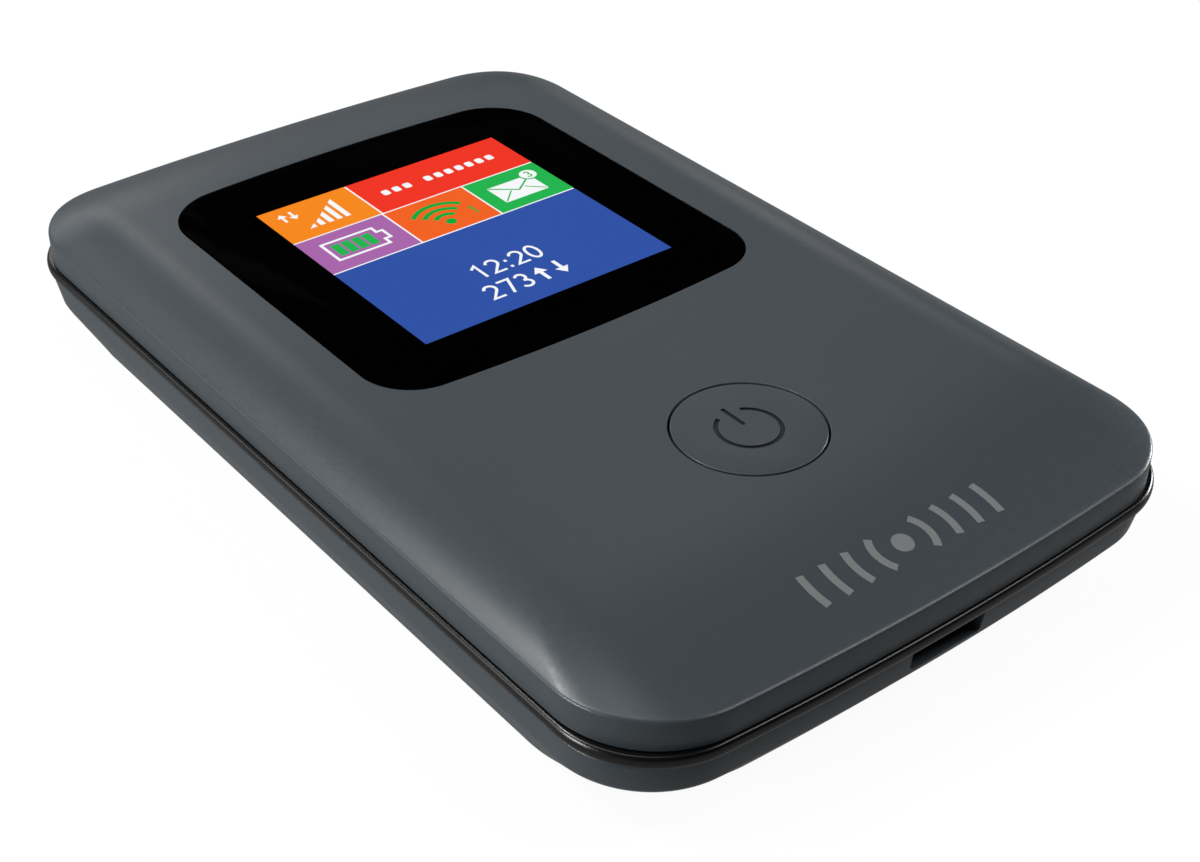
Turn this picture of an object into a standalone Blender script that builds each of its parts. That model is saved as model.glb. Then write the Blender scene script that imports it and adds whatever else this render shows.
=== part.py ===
"""Pocket mobile hotspot: a hand-sized router with a colour display, one power key, a USB socket in
its front end, and a battery and a SIM card under a lift-off rear cover.

+Z up. X is the width and Y the length, with the display towards +Y and the USB socket at -Y. The
origin is the middle of the underside. The dimensions below are millimetres, and loft() turns them
into metres. Every solid is lofted through closed rings of points, then cut or joined by Booleans.
"""

import math

import bmesh
import bpy

MM = 0.001

# --- case, from the top down --------------------------------------------------------------------
TOP_Z = 12.0
EDGE_Z = 10.0  # crisp edge between the domed face and the side wall
COVER_LOW_Z = 7.65
BAND_HIGH_Z = 7.45
BAND_LOW_Z = 6.1
REAR_HIGH_Z = 5.95
REAR_EDGE_Z = 3.7
REAR_HEEL_Z = 1.1
HALF_WIDTH = 27.64  # of the front cover, at its edge
HALF_LENGTH = 44.63
CORNER = 9.0
END_BOW = 294.0  # radius of the gently bowed short ends
SKIN = 1.2  # wall of the front cover
BAND_BULGE = 0.33
HAIR = 0.1  # gap round flush trim
SEAT_GAP = 0.05  # gap under a piece that is soldered or stuck down

# --- domed face: how far in from the edge it becomes flat ---------------------------------------
ROLL_SIDE = 6.2
ROLL_FRONT = 16.0
ROLL_BACK = 10.7
ROLL_STEPS = 6

# --- window and display -------------------------------------------------------------------------
WINDOW_HALF = 19.07
WINDOW_FRONT = -5.39
WINDOW_BACK = 33.77
WINDOW_CORNER = 4.8
WINDOW_BOW = 192.0
WINDOW_THICK = 0.65
WINDOW_SEAT = 1.0  # depth of the ledge that carries the window
LEDGE_THICK = 0.8
SCREEN_LOW = (-15.2, -2.9)  # opening behind the window
SCREEN_HIGH = (15.2, 29.5)
PANEL_LOW = (-14.3, -1.6, 10.45)
PANEL_HIGH = (14.3, 28.5, 11.25)
BACKLIGHT_LOW = (-14.8, -2.35, 9.2)
BACKLIGHT_HIGH = (14.8, 29.0, 10.35)

# --- power key ----------------------------------------------------------------------------------
KEY = (0.0, -23.5)
KEY_RADIUS = 5.93
KEY_HOLE_RADIUS = 6.12
KEY_FLANGE_RADIUS = 6.9
KEY_WELL_RADIUS = 7.3
KEY_FLANGE_LOW_Z = 10.15
KEY_FLANGE_HIGH_Z = 10.6
KEY_STEM_RADIUS = 1.5
KEY_STEM_LOW_Z = 9.6
MARK_RADIUS = 2.5
MARK_STROKE = 0.36
MARK_DEPTH = 0.15
MARK_GAP = math.radians(26)  # half of the gap at the top of the ring

# --- board and deck -----------------------------------------------------------------------------
BOARD_LOW_Z = 6.4
BOARD_HIGH_Z = 7.2
BOARD_HALF = (24.6, 41.4)
DECK_LOW_Z = 5.3
DECK_HIGH_Z = 6.0
SHIELD_TOP_Z = 8.75
SHIELD_SHEET = 0.2
CHIP_THICK = 0.9
UNDER_BOARD_Z = BOARD_LOW_Z - SEAT_GAP
ON_BOARD_Z = BOARD_HIGH_Z + SEAT_GAP
SCREWS = {
    "back_left": (-18.5, 38.6),
    "back_right": (18.5, 38.6),
    "front_left": (-18.5, -38.6),
    "front_right": (18.5, -38.6),
}
SCREW_SHANK = 0.8
SCREW_HEAD = 1.6

# --- sockets, card and battery ------------------------------------------------------------------
USB_X = 0.5
USB_NOTCH_WIDTH = 7.1
USB_NOTCH_LOW_Z = 4.25
USB_FRONT = -42.6
USB_BACK = -37.2
USB_HALF = 3.75
USB_LOW_Z = 3.95
USB_SHEET = 0.25
RESET = (14.5, -32.0)
SIM_LOW = (-20.6, -35.5, 5.1)
SIM_HIGH = (-5.6, -23.5, 5.86)
CONTACTS_X = (-4.0, 0.0, 4.0)
CONTACT_Z = 4.1
BATTERY_HALF = 20.0
BATTERY_FRONT = -17.0
BATTERY_SEAM = -15.1
BATTERY_BACK = 36.4
BATTERY_LOW_Z = 1.3
BATTERY_HIGH_Z = 5.0


# --- drawing helpers ----------------------------------------------------------------------------
def material(name, colour, roughness, metallic=0.0):
    made = bpy.data.materials.new(name)
    made.use_nodes = True
    shader = made.node_tree.nodes["Principled BSDF"]
    shader.inputs["Base Color"].default_value = (*colour, 1.0)
    shader.inputs["Roughness"].default_value = roughness
    shader.inputs["Metallic"].default_value = metallic
    return made


def arc(centre, radius, start, end, steps):
    """Points on an arc, both ends included."""
    turns = [start + (end - start) * i / steps for i in range(steps + 1)]
    return [(centre[0] + radius * math.cos(t), centre[1] + radius * math.sin(t)) for t in turns]


def circle(centre, radius, steps):
    return arc(centre, radius, 0, 2 * math.pi * (steps - 1) / steps, steps - 1)


def bowed_rect(half_width, front, back, corner, bow, corner_steps=8, end_steps=6):
    """Plan outline with straight sides, gently bowed ends and round corners, counter-clockwise."""
    middle = (front + back) / 2
    inset = half_width - corner
    bow_centre = (back - front) / 2 - bow
    corner_y = bow_centre + math.sqrt((bow - corner) ** 2 - inset**2)
    meet = math.atan2(corner_y - bow_centre, inset)
    right = arc((inset, corner_y), corner, 0, meet, corner_steps)
    end = arc((0, bow_centre), bow, meet, math.pi - meet, end_steps)
    half = right + end[1:-1] + [(-x, y) for x, y in reversed(right)]
    return [(x, middle + y) for x, y in half] + [(-x, middle - y) for x, y in half]


def case_outline(inset, front_inset=None, back_inset=None, corner=None):
    """The front cover's plan at its edge, moved in by inset."""
    front = -HALF_LENGTH + (inset if front_inset is None else front_inset)
    back = HALF_LENGTH - (inset if back_inset is None else back_inset)
    if corner is None:
        corner = CORNER - inset
    return bowed_rect(HALF_WIDTH - inset, front, back, corner, END_BOW)


def round_rect(low, high, corner, steps=4):
    """Plan rectangle with round corners, counter-clockwise from the +X side."""
    (x0, y0), (x1, y1) = low, high
    spots = ((x1 - corner, y1 - corner), (x0 + corner, y1 - corner),
             (x0 + corner, y0 + corner), (x1 - corner, y0 + corner))
    points = []
    for i, spot in enumerate(spots):
        points += arc(spot, corner, i * math.pi / 2, (i + 1) * math.pi / 2, steps)
    return points


def grown(low, high, by):
    return tuple(v - by for v in low), tuple(v + by for v in high)


def at(points, z):
    return [(x, y, z) for x, y in points]


def loft(name, rings, finish, looped=False):
    """A closed solid through rings of equal count. Its ends are capped, or else its last ring meets
    its first, which leaves it open through the middle."""
    shape = bmesh.new()
    rows = [[shape.verts.new([v * MM for v in point]) for point in ring] for ring in rings]
    count = len(rows[0])
    if looped:
        rows.append(rows[0])
    for low, high in zip(rows, rows[1:]):
        for i in range(count):
            j = (i + 1) % count
            shape.faces.new((low[i], low[j], high[j], high[i]))
    if not looped:
        shape.faces.new(reversed(rows[0]))
        shape.faces.new(rows[-1])
    bmesh.ops.recalc_face_normals(shape, faces=shape.faces)
    mesh = bpy.data.meshes.new(name)
    shape.to_mesh(mesh)
    shape.free()
    mesh.shade_smooth()
    mesh.set_sharp_from_angle(angle=math.radians(30))
    mesh.materials.append(finish)
    made = bpy.data.objects.new(name, mesh)
    bpy.context.scene.collection.objects.link(made)
    return made


def across(name, outline, x0, x1, finish):
    """A solid with one (y, z) outline all along X."""
    return loft(name, [[(x, y, z) for y, z in outline] for x in (x0, x1)], finish)


def slab(name, outline, low, high, finish, edge=0.0):
    """A plate of one outline. With an edge, its upper and lower rims are chamfered."""
    if not edge:
        return loft(name, [at(outline, low), at(outline, high)], finish)

    cx = sum(x for x, _ in outline) / len(outline)
    cy = sum(y for _, y in outline) / len(outline)
    wide = 1 - edge / (max(x for x, _ in outline) - cx)
    tall = 1 - edge / (max(y for _, y in outline) - cy)
    inner = [(cx + (x - cx) * wide, cy + (y - cy) * tall) for x, y in outline]
    rings = [at(inner, low), at(outline, low + edge), at(outline, high - edge), at(inner, high)]
    return loft(name, rings, finish)


def block(name, low, high, finish, corner=0.2, edge=0.0):
    """A box with round upright edges."""
    return slab(name, round_rect(low[:2], high[:2], corner, steps=2), low[2], high[2], finish, edge)


def turned(name, centre, profile, finish, steps=32):
    """A round piece about a vertical line, through (radius, z) from one flat end to the other."""
    return loft(name, [at(circle(centre, radius, steps), z) for radius, z in profile], finish)


def rod(name, centre, radius, low, high, finish, steps=32):
    return turned(name, centre, [(radius, low), (radius, high)], finish, steps)


def combine(target, tool, operation):
    tool.hide_render = True
    tool.display_type = "WIRE"
    change = target.modifiers.new(tool.name, "BOOLEAN")
    change.operation = operation
    change.solver = "EXACT"
    change.object = tool


def trim(target, *tools):
    for tool in tools:
        combine(target, tool, "DIFFERENCE")


def add(target, *tools):
    for tool in tools:
        combine(target, tool, "UNION")


def make_materials():
    return {
        "slate": material("slate_plastic", (0.075, 0.092, 0.101), 0.42),
        "band": material("black_gloss_plastic", (0.008, 0.008, 0.008), 0.12),
        "glass": material("black_glass", (0.002, 0.002, 0.002), 0.05),
        "panel": material("display_panel", (0.03, 0.08, 0.35), 0.15),
        "white": material("white_plastic", (0.8, 0.8, 0.78), 0.5),
        "board": material("green_board", (0.01, 0.12, 0.05), 0.4),
        "steel": material("tinned_steel", (0.6, 0.6, 0.58), 0.35, 1.0),
        "gold": material("gold_contact", (0.8, 0.55, 0.2), 0.3, 1.0),
        "amber": material("amber_film", (0.5, 0.22, 0.03), 0.4),
        "dark": material("dark_plastic", (0.015, 0.015, 0.016), 0.5),
        "wrap": material("battery_wrap", (0.05, 0.055, 0.06), 0.45),
        "card": material("card_plastic", (0.85, 0.85, 0.85), 0.4),
        "foam": material("black_foam", (0.01, 0.01, 0.01), 0.9),
        "chip": material("chip_resin", (0.02, 0.02, 0.022), 0.55),
        "screw": material("black_zinc", (0.12, 0.12, 0.12), 0.35, 1.0),
    }


# --- front cover, window and key ----------------------------------------------------------------
def face_rings(skin):
    """Rings of the domed face, skin deep under its surface, from its edge up to where it is flat."""
    drop = TOP_Z - EDGE_Z
    rings = []
    for step in range(ROLL_STEPS + 1):
        fall = drop * (1 - step / ROLL_STEPS) ** 2
        insets = []
        for reach in (ROLL_SIDE, ROLL_FRONT, ROLL_BACK):
            radius = (reach**2 + drop**2) / (2 * drop)
            insets.append(skin + reach - math.sqrt(2 * radius * fall - fall**2))
        side, front, back = insets
        corner = CORNER - skin - 0.55 * (side - skin)
        rings.append(at(case_outline(side, front, back, corner), TOP_Z - skin - fall))
    return rings


def make_front_cover(finish):
    rims = [at(case_outline(0), COVER_LOW_Z), at(case_outline(SKIN), COVER_LOW_Z)]
    cover = loft("front_cover", list(reversed(face_rings(0.0))) + rims + face_rings(SKIN), finish)

    seat_z = TOP_Z - WINDOW_SEAT
    ledge_z = seat_z - LEDGE_THICK
    ledge = round_rect((-20.6, -6.9), (20.6, 34.6), 5.0)
    add(cover, slab("cover_ledge", ledge, ledge_z, TOP_Z - SKIN + 0.1, finish))
    for name, centre in SCREWS.items():
        root_z = 10.7 if centre[1] > 0 else 10.2  # inside the skin, which dips further at the front
        add(cover, rod("cover_boss_" + name, centre, 2.3, COVER_LOW_Z - SEAT_GAP, root_z, finish, 20))
    add(cover, rod("cover_key_guide", KEY, 8.4, 9.9, 10.9, finish, 40))

    trim(cover,
         slab("cover_window_seat", window_outline(-HAIR), seat_z, TOP_Z + 1, finish),
         slab("cover_screen_opening", round_rect(SCREEN_LOW, SCREEN_HIGH, 0.8), ledge_z - 1, TOP_Z, finish),
         rod("cover_key_hole", KEY, KEY_HOLE_RADIUS, 9, TOP_Z + 1, finish, 48),
         rod("cover_key_well", KEY, KEY_WELL_RADIUS, 9, KEY_FLANGE_HIGH_Z + 0.2, finish, 40))
    for name, centre in SCREWS.items():
        trim(cover, rod("cover_pilot_" + name, centre, SCREW_SHANK + 0.15, 7, 10.2, finish, 16))


def window_outline(inset):
    half_width, corner = WINDOW_HALF - inset, WINDOW_CORNER - inset
    return bowed_rect(half_width, WINDOW_FRONT + inset, WINDOW_BACK - inset, corner, WINDOW_BOW)


def make_window(finishes):
    low = TOP_Z - WINDOW_THICK
    slab("display_window", window_outline(0), low, TOP_Z, finishes["glass"])

    seat_z = TOP_Z - WINDOW_SEAT + SEAT_GAP
    gasket = slab("window_adhesive", window_outline(0.6), seat_z, low - SEAT_GAP, finishes["foam"])
    inside = round_rect(*grown(SCREEN_LOW, SCREEN_HIGH, 0.4), 0.8)
    trim(gasket, slab("adhesive_opening", inside, seat_z - 1, low + 1, finishes["foam"]))


def make_power_button(finish):
    """A round cap on a flange and a stem, with a power symbol sunk into its top."""
    edge = 0.12
    profile = [(KEY_STEM_RADIUS, KEY_STEM_LOW_Z), (KEY_STEM_RADIUS, KEY_FLANGE_LOW_Z),
               (KEY_FLANGE_RADIUS, KEY_FLANGE_LOW_Z), (KEY_FLANGE_RADIUS, KEY_FLANGE_HIGH_Z),
               (KEY_RADIUS, KEY_FLANGE_HIGH_Z), (KEY_RADIUS, TOP_Z - edge), (KEY_RADIUS - edge, TOP_Z)]
    button = turned("power_button", KEY, profile, finish, 48)

    half = MARK_STROKE / 2
    start = math.pi / 2 + MARK_GAP
    end = math.pi * 5 / 2 - MARK_GAP
    outline = arc(KEY, MARK_RADIUS + half, start, end, 28) + arc(KEY, MARK_RADIUS - half, end, start, 28)
    bar = round_rect((-half, KEY[1] + 0.5), (half, KEY[1] + 3.1), 0.9 * half)
    trim(button,
         slab("key_mark_ring", outline, TOP_Z - MARK_DEPTH, TOP_Z + 1, finish),
         slab("key_mark_bar", bar, TOP_Z - MARK_DEPTH, TOP_Z + 1, finish))


# --- display module -----------------------------------------------------------------------------
def make_display(finishes):
    block("lcd_panel", PANEL_LOW, PANEL_HIGH, finishes["panel"], 0.4)
    block("lcd_backlight", BACKLIGHT_LOW, BACKLIGHT_HIGH, finishes["white"], 0.5)
    make_flex(finishes["amber"])

    connector = block("lcd_connector", (-7.2, -10.2, ON_BOARD_Z), (7.2, -6.6, 8.3), finishes["dark"])
    trim(connector, block("connector_mouth", (-6.3, -8.6, 7.6), (6.3, -6.0, 8.0), finishes["dark"], 0.05))


def make_flex(finish):
    """The flexible tail drops from the module's front end and folds forward into its connector."""
    thick = 0.15
    bend = 0.8
    back_y = BACKLIGHT_LOW[1] - 0.4
    low_z = 7.75
    top_z = 10.1
    tip_y = -6.9
    centre = (back_y - bend, low_z + bend)
    outer = [(back_y, top_z)] + arc(centre, bend, 0, -math.pi / 2, 6) + [(tip_y, low_z)]
    inner = [(tip_y, low_z + thick)] + arc(centre, bend - thick, -math.pi / 2, 0, 6)
    inner += [(back_y - thick, top_z)]
    across("lcd_flex", outer + inner, -6.0, 6.0, finish)


# --- waist band and middle frame ----------------------------------------------------------------
def usb_gap(name, finish):
    """The space round the USB socket in the pieces that it reaches through."""
    half = 4.4
    low = (USB_X - half, USB_FRONT - 0.3, 1.0)
    return block(name, low, (USB_X + half, USB_BACK + 0.8, BOARD_LOW_Z + 0.2), finish)


def make_waist_band(finish):
    """A glossy trim ring held between the front cover and the frame. Its lip reaches into the cover."""
    lip_in, lip_out, lip_z = 2.35, 1.55, 8.5
    middle = (BAND_LOW_Z + BAND_HIGH_Z) / 2
    half = (BAND_HIGH_Z - BAND_LOW_Z) / 2
    steps = 8
    turns = [math.pi / 2 - math.pi * i / steps for i in range(steps + 1)]
    profile = [(lip_in, BAND_LOW_Z), (lip_in, lip_z), (lip_out, lip_z), (lip_out, BAND_HIGH_Z)]
    profile += [(-BAND_BULGE * math.cos(turn), middle + half * math.sin(turn)) for turn in turns]
    band = loft("waist_band", [at(case_outline(inset), z) for inset, z in profile], finish, looped=True)

    # A shallow relief in the band's lower edge leaves room for the plug's grip.
    relief = block("band_usb_relief", (USB_X - 3.0, -46.0, BAND_LOW_Z - 1),
                   (USB_X + 3.2, -42.5, BAND_LOW_Z + 0.15), finish, 0.05)
    trim(band, usb_gap("band_usb_gap", finish), relief)


def make_mid_frame(finish):
    """A deck under the board, with a skirt round the battery bay, in one moulding."""
    rim, skirt_out, skirt_in, skirt_z = 1.8, 2.9, 3.7, 2.4
    profile = [(rim, DECK_HIGH_Z), (rim, DECK_LOW_Z), (skirt_out, DECK_LOW_Z), (skirt_out, skirt_z),
               (skirt_in, skirt_z), (skirt_in, DECK_LOW_Z)]
    frame = loft("mid_frame", [at(case_outline(inset), z) for inset, z in profile], finish)

    low, high = DECK_LOW_Z - 1, DECK_HIGH_Z + 1
    reset_low, reset_high = grown(RESET, RESET, 1.8)
    cuts = [
        block("frame_sim_window", (-22.2, -36.8, low), (9.6, -22.2, high), finish, 0.5),
        block("frame_contact_window", (-7.4, -21.2, low), (7.4, -15.9, high), finish, 0.3),
        block("frame_reset_window", (*reset_low, low), (*reset_high, high), finish, 0.3),
        usb_gap("frame_usb_gap", finish),
    ]
    for name, centre in SCREWS.items():
        cuts.append(rod("frame_hole_" + name, centre, SCREW_SHANK + 0.35, low, high, finish, 20))
    trim(frame, *cuts)


# --- rear cover ---------------------------------------------------------------------------------
def make_rear_cover(finish):
    """A tray: (half width, half length, z) up its outside, then down its inside."""
    outside = [(25.1, 40.3, 0.0), (25.75, 41.3, 0.22), (26.2, 41.95, 0.68), (26.34, 42.2, REAR_HEEL_Z),
               (27.44, 44.05, REAR_EDGE_Z), (27.6, 44.3, REAR_HIGH_Z)]
    inside = [(26.4, 43.1, REAR_HIGH_Z), (26.3, 42.95, REAR_EDGE_Z), (25.4, 41.7, 1.6), (24.7, 40.8, 1.0)]
    rings = [at(bowed_rect(w, -l, l, CORNER, END_BOW), z) for w, l, z in outside]
    rings += [at(bowed_rect(w, -l, l, CORNER - 1.1, END_BOW), z) for w, l, z in inside]
    cover = loft("rear_cover", rings, finish)

    half = USB_NOTCH_WIDTH / 2
    notch = round_rect((USB_X - half, USB_NOTCH_LOW_Z), (USB_X + half, REAR_HIGH_Z + 2), 0.4)
    trim(cover, loft("rear_usb_notch", [[(x, y, z) for x, z in notch] for y in (-46.0, -42.0)], finish))

    pry = block("rear_pry_notch", (-2.4, -1.6, REAR_HIGH_Z - 0.45), (2.4, 0.5, REAR_HIGH_Z + 1), finish)
    pry.location = (23.6 * MM, -42.4 * MM, 0)
    pry.rotation_euler = (0, 0, math.radians(32))
    trim(cover, pry)


# --- circuit board and what it carries ----------------------------------------------------------
def make_board(finish):
    half_width, half_length = BOARD_HALF
    outline = bowed_rect(half_width, -half_length, half_length, 6.0, END_BOW)
    board = slab("main_board", outline, BOARD_LOW_Z, BOARD_HIGH_Z, finish)
    for name, centre in SCREWS.items():
        trim(board, rod("board_hole_" + name, centre, SCREW_SHANK + 0.7, 6, 8, finish, 20))


def make_shield(name, low, high, finish):
    """A sheet-metal can, open towards the board."""
    can = block(name, (*low, ON_BOARD_Z), (*high, SHIELD_TOP_Z), finish, 0.6)
    inner_low, inner_high = grown(low, high, -SHIELD_SHEET)
    inner_top = SHIELD_TOP_Z - SHIELD_SHEET
    trim(can, block(name + "_hollow", (*inner_low, ON_BOARD_Z - 1), (*inner_high, inner_top), finish, 0.4))


def make_chip(name, low, high, finish):
    block(name, (*low, ON_BOARD_Z), (*high, ON_BOARD_Z + CHIP_THICK), finish, 0.1)


def make_power_switch(finishes):
    low, high = grown(KEY, KEY, 2.3)
    body = block("power_switch", (*low, ON_BOARD_Z), (*high, 8.95), finishes["steel"], 0.3)
    trim(body, rod("power_switch_bore", KEY, 1.25, 7.9, 10, finishes["steel"], 24))
    turned("power_switch_plunger", KEY, [(1.1, 8.4), (1.1, 9.4), (0.9, 9.55)], finishes["dark"], 24)


def make_reset_switch(finishes):
    low, high = grown(RESET, RESET, 1.4)
    body = block("reset_switch", (*low, 5.1), (*high, UNDER_BOARD_Z), finishes["steel"])
    trim(body, rod("reset_switch_bore", RESET, 0.75, 4, 5.9, finishes["steel"], 20))
    turned("reset_plunger", RESET, [(0.5, 4.7), (0.6, 4.8), (0.6, 5.55)], finishes["dark"], 20)


def usb_section(inset, y):
    """Cross-section of the socket: a flat top and two slanted lower corners."""
    bevel = 0.9
    low, high = USB_LOW_Z, UNDER_BOARD_Z
    shape = [(bevel - USB_HALF, low), (USB_HALF - bevel, low), (USB_HALF, low + bevel), (USB_HALF, high),
             (-USB_HALF, high), (-USB_HALF, low + bevel)]
    middle = (low + high) / 2
    wide = 1 - inset / USB_HALF
    tall = 1 - inset / (high - middle)
    return [(USB_X + x * wide, y, middle + (z - middle) * tall) for x, z in shape]


def make_usb_socket(finishes):
    """A socket hanging under the board: a folded steel shell round a plastic tongue."""
    shell = loft("usb_shell", [usb_section(0, USB_FRONT), usb_section(0, USB_BACK)], finishes["steel"])
    hollow = [usb_section(USB_SHEET, USB_FRONT - 1), usb_section(USB_SHEET, USB_BACK - 0.6)]
    trim(shell, loft("usb_hollow", hollow, finishes["steel"]))
    block("usb_tongue", (USB_X - 2.4, USB_FRONT + 0.5, 5.25), (USB_X + 2.4, USB_BACK - 0.7, 5.85),
          finishes["dark"], 0.15)


def make_sim(finishes):
    """A folded steel cage under the board, with the card lying in it, pushed in from +X."""
    x0, y0, z0 = SIM_LOW
    x1, y1, z1 = SIM_HIGH
    steel = finishes["steel"]
    low = (x0 - 0.8, y0 - 0.7, z0 - 0.35)
    cage = block("sim_socket", low, (x1 - 1.4, y1 + 0.7, UNDER_BOARD_Z), steel, 0.3)
    trim(cage,
         block("sim_mouth", (x0 - 0.3, y0 - 0.2, z0 - 0.1), (x1 + 0.6, y1 + 0.2, z1 + 0.19), steel, 0.1),
         block("sim_window", (-18.0, -33.2, z0 - 1), (-10.2, -25.8, z0 + 0.5), steel, 1.2))

    cut = 2.4
    corner = 0.9
    outline = arc((x1 - corner, y1 - corner), corner, 0, math.pi / 2, 3)
    outline += arc((x0 + corner, y1 - corner), corner, math.pi / 2, math.pi, 3)
    outline += [(x0, y0 + cut), (x0 + cut, y0)]
    outline += arc((x1 - corner, y0 + corner), corner, -math.pi / 2, 0, 3)
    slab("sim_card", outline, z0, z1, finishes["card"])


def make_battery_contacts(finishes):
    """Three gold spring blades, bowed towards the battery, in a plastic block under the board."""
    holder = block("battery_contact_block", (-6.6, -20.8, 2.4), (6.6, -18.2, UNDER_BOARD_Z), finishes["dark"])
    back_y = -19.3
    bow_y = -18.4
    bow = 1.35
    thick = 0.2
    for index, x in enumerate(CONTACTS_X, start=1):
        groove = block(f"contact_groove_{index}", (x - 0.8, back_y - 0.1, CONTACT_Z - bow - 0.05),
                       (x + 0.8, -17.0, CONTACT_Z + bow + 0.15), finishes["dark"], 0.05)
        trim(holder, groove)
        centre = (bow_y, CONTACT_Z)
        outer = [(back_y, CONTACT_Z - bow)] + arc(centre, bow, -math.pi / 2, math.pi / 2, 12)
        outer += [(back_y, CONTACT_Z + bow)]
        inner = [(back_y, CONTACT_Z + bow - thick)] + arc(centre, bow - thick, math.pi / 2, -math.pi / 2, 12)
        inner += [(back_y, CONTACT_Z - bow + thick)]
        across(f"contact_blade_{index}", outer + inner, x - 0.6, x + 0.6, finishes["gold"])


def make_battery(finishes):
    cell = round_rect((-BATTERY_HALF, BATTERY_SEAM + 0.1), (BATTERY_HALF, BATTERY_BACK), 1.2, 3)
    slab("battery_cell", cell, BATTERY_LOW_Z, BATTERY_HIGH_Z, finishes["wrap"], 0.5)
    cap = block("battery_cap", (-BATTERY_HALF, BATTERY_FRONT, BATTERY_LOW_Z),
                (BATTERY_HALF, BATTERY_SEAM, BATTERY_HIGH_Z), finishes["dark"], 0.4, 0.3)
    for index, x in enumerate(CONTACTS_X, start=1):
        trim(cap, block(f"cap_pad_{index}", (x - 1.2, -18.0, 2.5), (x + 1.2, BATTERY_FRONT + 0.4, 5.6),
                        finishes["dark"], 0.05))


def make_antennas(finishes):
    top_z = 8.9
    dark = finishes["dark"]
    main = block("main_antenna", (-15.2, 36.4, ON_BOARD_Z), (15.2, 41.2, top_z), dark, 0.5, 0.2)
    trim(main, block("main_antenna_relief", (-11.0, 35.0, 7.0), (11.0, 39.9, 8.2), dark))
    second = block("diversity_antenna", (-14.6, -41.0, ON_BOARD_Z), (14.6, -37.4, top_z), dark, 0.5, 0.2)
    trim(second, block("diversity_antenna_relief", (-11.0, -40.1, 7.0), (11.0, -36.0, 8.2), dark))
    block("wifi_antenna", (-24.0, -14.0, ON_BOARD_Z), (-21.8, -4.0, 8.5), finishes["gold"])


def make_screw(name, centre, finish):
    """A small cross-head screw, driven up from the battery bay."""
    profile = [(1.1, 4.25), (SCREW_HEAD, 4.5), (SCREW_HEAD, 5.15), (SCREW_SHANK, 5.15), (SCREW_SHANK, 9.6),
               (0.35, 9.95)]
    screw = turned("screw_" + name, centre, profile, finish, 20)
    for angle in (0, 90):
        slot = block(f"slot_{name}_{angle}", (-0.9, -0.17, 3.9), (0.9, 0.17, 4.7), finish, 0.05)
        slot.location = (centre[0] * MM, centre[1] * MM, 0)
        slot.rotation_euler = (0, 0, math.radians(angle))
        trim(screw, slot)


def main():
    for old in list(bpy.data.objects):
        bpy.data.objects.remove(old, do_unlink=True)
    finishes = make_materials()
    make_front_cover(finishes["slate"])
    make_window(finishes)
    make_power_button(finishes["slate"])
    make_display(finishes)
    make_waist_band(finishes["band"])
    make_mid_frame(finishes["dark"])
    make_rear_cover(finishes["slate"])
    make_board(finishes["board"])
    make_shield("modem_shield", (-20.0, 4.0), (2.0, 32.0), finishes["steel"])
    make_shield("wifi_shield", (5.0, 12.0), (20.0, 30.0), finishes["steel"])
    make_shield("power_shield", (9.0, -12.0), (21.0, 6.0), finishes["steel"])
    make_chip("modem_chip", (-15.0, 12.0), (-4.0, 23.0), finishes["chip"])
    make_chip("wifi_chip", (9.0, 17.0), (15.5, 23.5), finishes["chip"])
    make_chip("memory_chip", (-19.0, -11.0), (-10.0, -1.0), finishes["chip"])
    make_power_switch(finishes)
    make_reset_switch(finishes)
    make_usb_socket(finishes)
    make_sim(finishes)
    make_battery_contacts(finishes)
    make_battery(finishes)
    make_antennas(finishes)
    for name, centre in SCREWS.items():
        make_screw(name, centre, finishes["screw"])


main()
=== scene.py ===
"""Looks of a pocket mobile hotspot: fine shells, a lit display, inner details and studio, built round
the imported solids. Shapes are given in millimetres, and add_loft turns them into metres; materials and
studio are in metres. X is the width, Y the length with the display towards +Y, and Z points up out of
the display face.
"""

import math

import bmesh
import bpy
from mathutils import Matrix, Vector


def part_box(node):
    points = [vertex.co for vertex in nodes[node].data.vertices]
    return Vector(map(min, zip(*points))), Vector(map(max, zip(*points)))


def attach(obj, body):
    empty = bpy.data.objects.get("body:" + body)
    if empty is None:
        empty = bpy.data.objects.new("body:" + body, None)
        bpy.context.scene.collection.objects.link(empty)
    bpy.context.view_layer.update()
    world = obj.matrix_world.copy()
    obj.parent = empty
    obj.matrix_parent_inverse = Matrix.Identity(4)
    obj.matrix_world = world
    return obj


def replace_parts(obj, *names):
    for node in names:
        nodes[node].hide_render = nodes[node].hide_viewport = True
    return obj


MM = 0.001
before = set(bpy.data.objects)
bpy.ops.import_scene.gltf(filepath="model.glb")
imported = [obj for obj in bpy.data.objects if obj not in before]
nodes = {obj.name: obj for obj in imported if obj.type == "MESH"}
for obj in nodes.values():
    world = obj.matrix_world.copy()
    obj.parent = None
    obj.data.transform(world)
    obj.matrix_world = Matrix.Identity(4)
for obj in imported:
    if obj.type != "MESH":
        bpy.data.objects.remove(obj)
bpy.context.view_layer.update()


def box(node):
    """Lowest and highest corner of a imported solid, in millimetres."""
    low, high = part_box(node)
    return tuple(v / MM for v in low), tuple(v / MM for v in high)


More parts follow.
